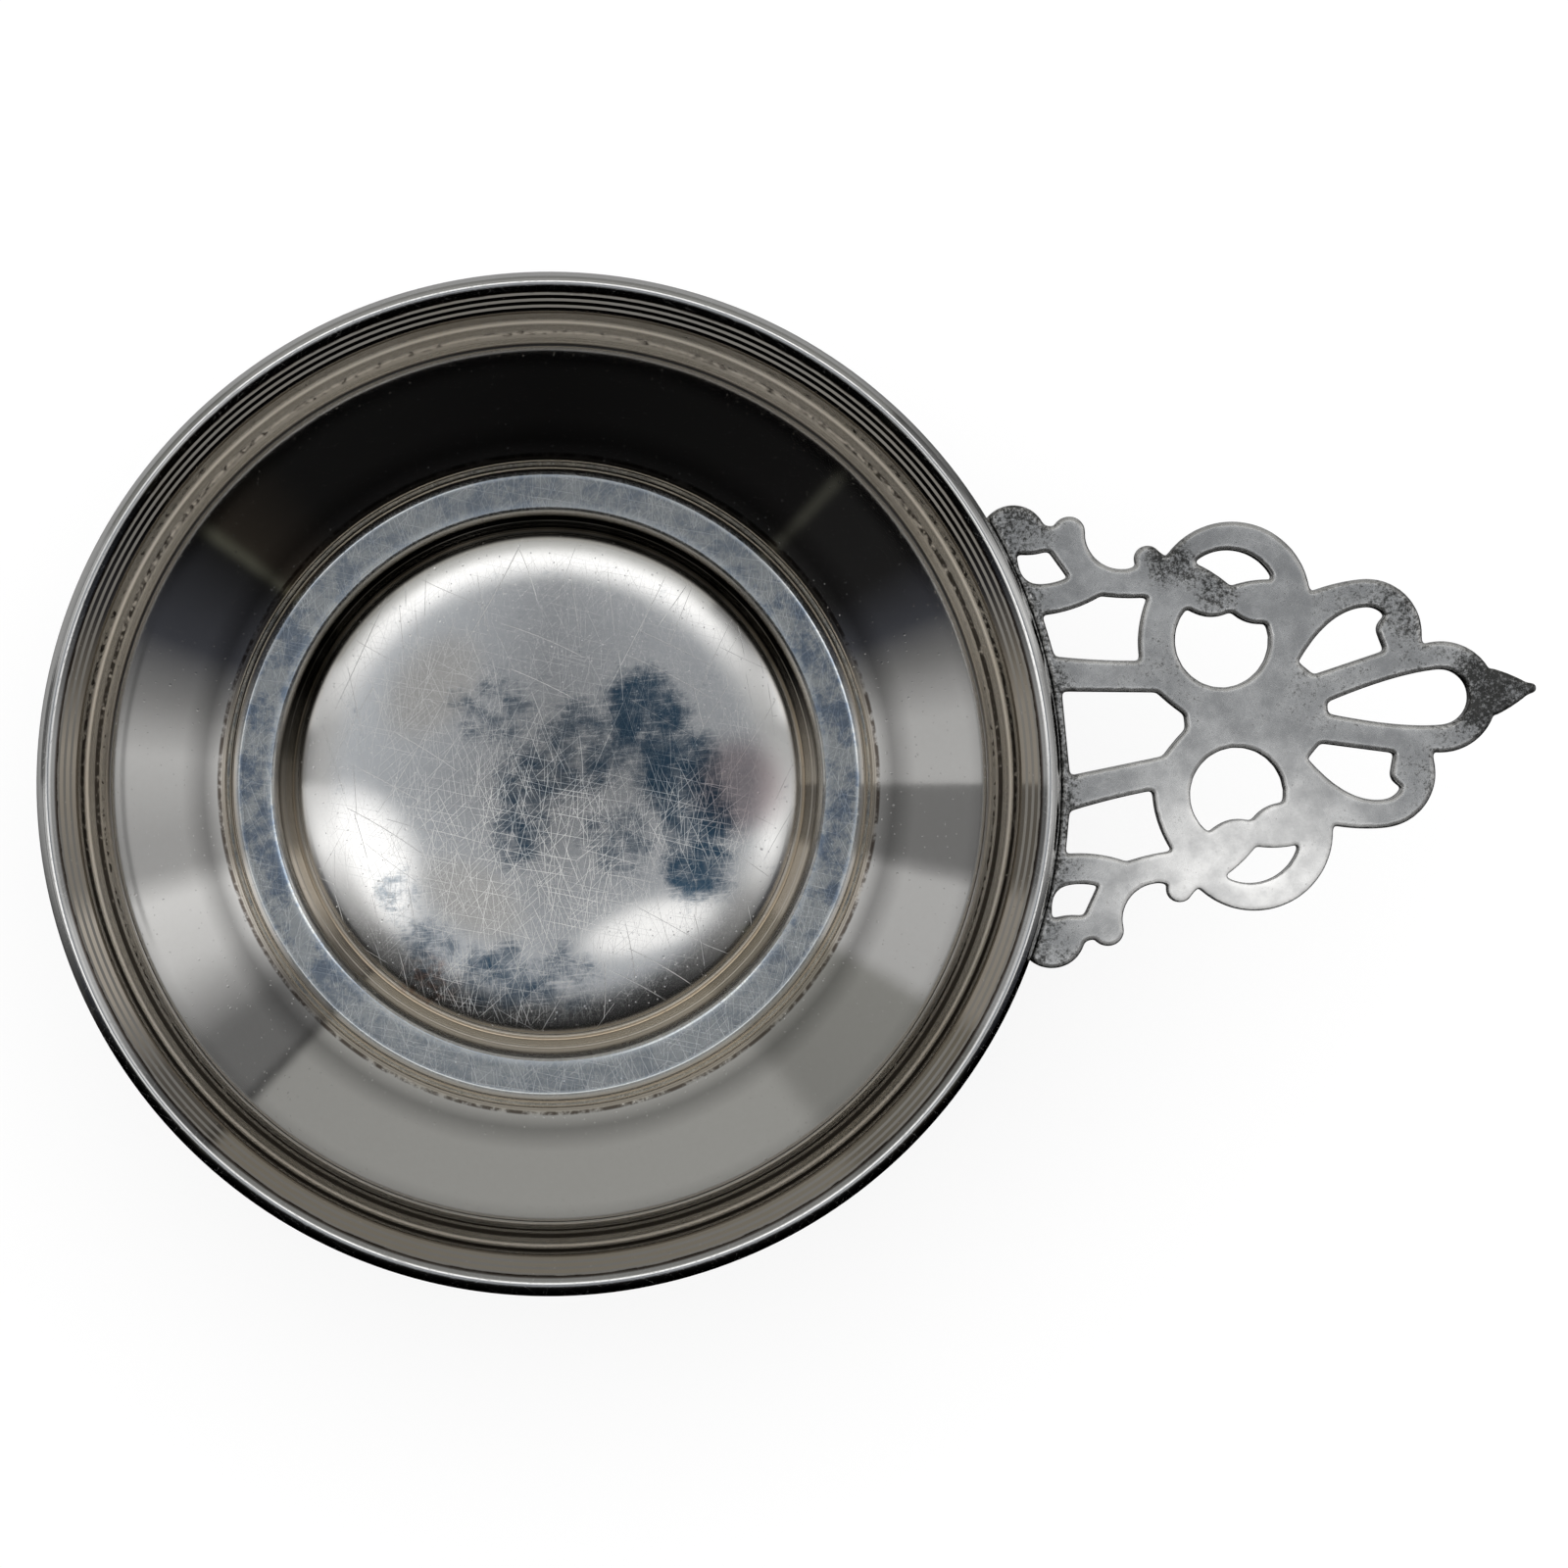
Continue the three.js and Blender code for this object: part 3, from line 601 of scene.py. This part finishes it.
wire_finish = bpy.data.materials.new("wire_silver")
silver = Bench(wire_finish)
wire_tones = (0.88, 0.875, 0.86), (0.95, 0.945, 0.93)
foot_dark = (0.15, 0.12, 0.10)
place, radius = silver_place(silver)
marks = scratches(silver, place, 0.7, 3, 0.9, 0.05, 21, 0.7)
marks = marks.most(scratches(silver, place, 2.2, 1.5, 0.7, 0.05, 22, 0.6))
marks = marks.most(specks(silver, place, 1.1, 0.1, 9, 0.4))
wear = noise(silver, place, 0.6, 5, 0.65)
colour = silver.blend(noise(silver, place, 0.2, 4), *wire_tones)
# Darker at the wire's foot, by the lip.
foot = silver.ease(radius, 57.9, 57.65) * (0.75 + noise(silver, place, 0.35, 4, 0.6) * 0.4).least(1)
colour = silver.tint(colour, foot_dark, foot)
roughness = 0.07 + wear * 0.05 + marks * 0.08
height = wear * (1.5 * micron) - marks * (1.2 * micron)
silver_surface(silver, colour, 1 - marks * 0.025, roughness, height)

rim_wire = finished(bm, "rim_bead", wire_finish)
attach(rim_wire, "root")
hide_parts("rim_wire")

# Handle: one flat silver casting, sawn and filed through, then worn soft at every edge. It
# is soldered to the side of the bowl under the wire.
voxel = 0.22
rounds = 10
swell = 0.055
# The pointed tip is worn less: where it starts, and its own rounds and swelling
tip_start = 82.5
tip_rounds = 4
tip_swell = 0.012

bm = bmesh.new()
bm.from_mesh(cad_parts["handle"].data)
bmesh.ops.remove_doubles(bm, verts=bm.verts[:], dist=0.001 * mm)
cast_mesh = bpy.data.meshes.new("casting")
bm.to_mesh(cast_mesh)
bm.free()
casting = bpy.data.objects.new("casting", cast_mesh)
scene.collection.objects.link(casting)
remesh = casting.modifiers.new("remesh", "REMESH")
remesh.mode = "VOXEL"
remesh.voxel_size = voxel * mm
shape = bpy.data.meshes.new_from_object(casting.evaluated_get(bpy.context.evaluated_depsgraph_get()))
bpy.data.objects.remove(casting)
bm = bmesh.new()
bm.from_mesh(shape)
for done in range(rounds):
    worn_verts = [v for v in bm.verts if done < tip_rounds or v.co.x < tip_start * mm]
    bmesh.ops.smooth_vert(
        bm, verts=worn_verts, factor=0.5, use_axis_x=True, use_axis_y=True, use_axis_z=True,
    )
bm.normal_update()
plate_top = max(v.co.z for v in bm.verts) / mm
for vert in bm.verts:
    vert.co += vert.normal * (swell if vert.co.x < tip_start * mm else tip_swell) * mm

cast_finish = bpy.data.materials.new("handle_silver")
silver = Bench(cast_finish)
cast_tones = (0.66, 0.66, 0.655), (0.96, 0.955, 0.94)
cast_black = (0.07, 0.07, 0.066)
place, radius = silver_place(silver)
along, across, rise = silver.parts(place)
marks = scratches(silver, place, 0.4, 9, 1.3, 0.05, 31)
for turn, length, gap, width, seed in ((1.3, 5, 1.0, 0.045, 32), (2.4, 3, 0.8, 0.045, 33)):
    marks = marks.most(scratches(silver, place, turn, length, gap, width, seed))
# Painted sheen: a broad light patch on the lower lobe.
painted_sheen = near(silver, place, 80, -22, 23, 0.1)
marks = marks.most(specks(silver, place, 1.7, 0.1, 34, 0.4)) * (1 - painted_sheen * 0.7)
blots = noise(silver, place, 0.32, 5, 0.65)
grain = noise(silver, place, 2.3, 5, 0.8)
clouds = noise(silver, place, 0.12, 3, 0.6)

# Black grainy tarnish on the tip and petals, blots near the beads and along the rim
cover = near(silver, place, 112.5, 0, 9.5, 0.45)
for x, y, reach, share in (
    (102.5, 11, 8, 0.62), (104, 5, 6, 0.38), (104, -9, 7, 0.42), (106, -4, 5, 0.35),
    (75, 19, 5, 0.85), (80, 15.5, 5, 0.7), (58.5, 26, 7, 0.7), (92, 3, 9, 0.3),
    (72, 5, 8, 0.25), (58, -26, 5, 0.4), (97, 14.5, 8, 0.4),
):
    cover = cover.most(near(silver, place, x, y, reach, 0.25) * share)
cover = cover.most(silver.ease(radius, 64.5, 60.5) * 0.7)
dark = silver.ease(grain * 0.8 + blots * 0.25 + cover * 0.22, 0.58, 0.76)
colour = silver.blend(silver.ease(blots * 0.6 + clouds * 0.4, 0.36, 0.64), *cast_tones)
colour = silver.tint(colour, cast_black, dark * 0.95)

# Satin on the flat of the plate, glossier on the rubbed edges and walls below it, with a painted sheen on
# the lower lobe
# Painted sheen: more satin, so lighter, on the lower lobe; less to the north and at the tip, so darker
# there.
satin_and_painted_sheen = 0.175 + painted_sheen * 0.80 - silver.ease(across, 2, 18) * 0.06 - silver.ease(along, 90, 102) * 0.03
satin_and_painted_sheen = satin_and_painted_sheen * (0.62 + grain * 0.5 + blots * 0.26) + marks * 0.03
rubbed = silver.ease(rise, plate_top - 0.04, plate_top - 0.22)
satin_and_painted_sheen = satin_and_painted_sheen * (1 - rubbed * 0.9)
roughness = 0.2 + blots * 0.1 + marks * 0.05 + dark * 0.15 - rubbed * 0.12
height = blots * (6 * micron) + grain * (2 * micron) - marks * (0.8 * micron) - dark * (3 * micron)
silver_surface(silver, colour, 1 - satin_and_painted_sheen.least(0.95), roughness, height * (1 - rubbed * 0.8))

handle = finished(bm, "handle_casting", cast_finish, sharp=80)
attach(handle, "root")
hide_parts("handle")

# Solder: a hollow fillet of hard silver solder, run into the corner between the underside
# of the handle and the neck of the bowl.
half_width = math.radians(22)
# Its section: radius and height
fillet = [(53.2, 35.75), (54.3, 36.75), (55.5, 37.5), (57.0, 37.95), (54.8, 38.0)]
bm = bmesh.new()
ring = [bm.verts.new(Vector((radius, 0, height)) * mm) for radius, height in fillet]
for a, b in zip(ring, ring[1:] + ring[:1]):
    bm.edges.new((a, b))
bmesh.ops.rotate(bm, verts=bm.verts[:], cent=(0, 0, 0), matrix=Matrix.Rotation(-half_width, 3, "Z"))
bmesh.ops.spin(
    bm, geom=bm.verts[:] + bm.edges[:], cent=(0, 0, 0), axis=(0, 0, 1), dvec=(0, 0, 0),
    angle=2 * half_width, steps=60, use_merge=False, use_duplicate=False,
)
bmesh.ops.holes_fill(bm, edges=[e for e in bm.edges if e.is_boundary], sides=0)
bmesh.ops.recalc_face_normals(bm, faces=bm.faces[:])
bmesh.ops.translate(bm, verts=bm.verts[:], vec=bowl_middle)

solder_finish = bpy.data.materials.new("solder")
silver = Bench(solder_finish)
solder_tones = (0.42, 0.40, 0.37), (0.62, 0.60, 0.56)
place, _ = silver_place(silver)
colour = silver.blend(noise(silver, place, 0.5, 4), *solder_tones)
roughness = 0.35 + noise(silver, place, 1.1, 4, 0.6) * 0.2
height = noise(silver, place, 1.6, 4, 0.6) * (20 * micron)
silver_surface(silver, colour, 1.0, roughness, height)

solder = finished(bm, "solder_fillet", solder_finish)
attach(solder, "root")
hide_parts("handle_solder")
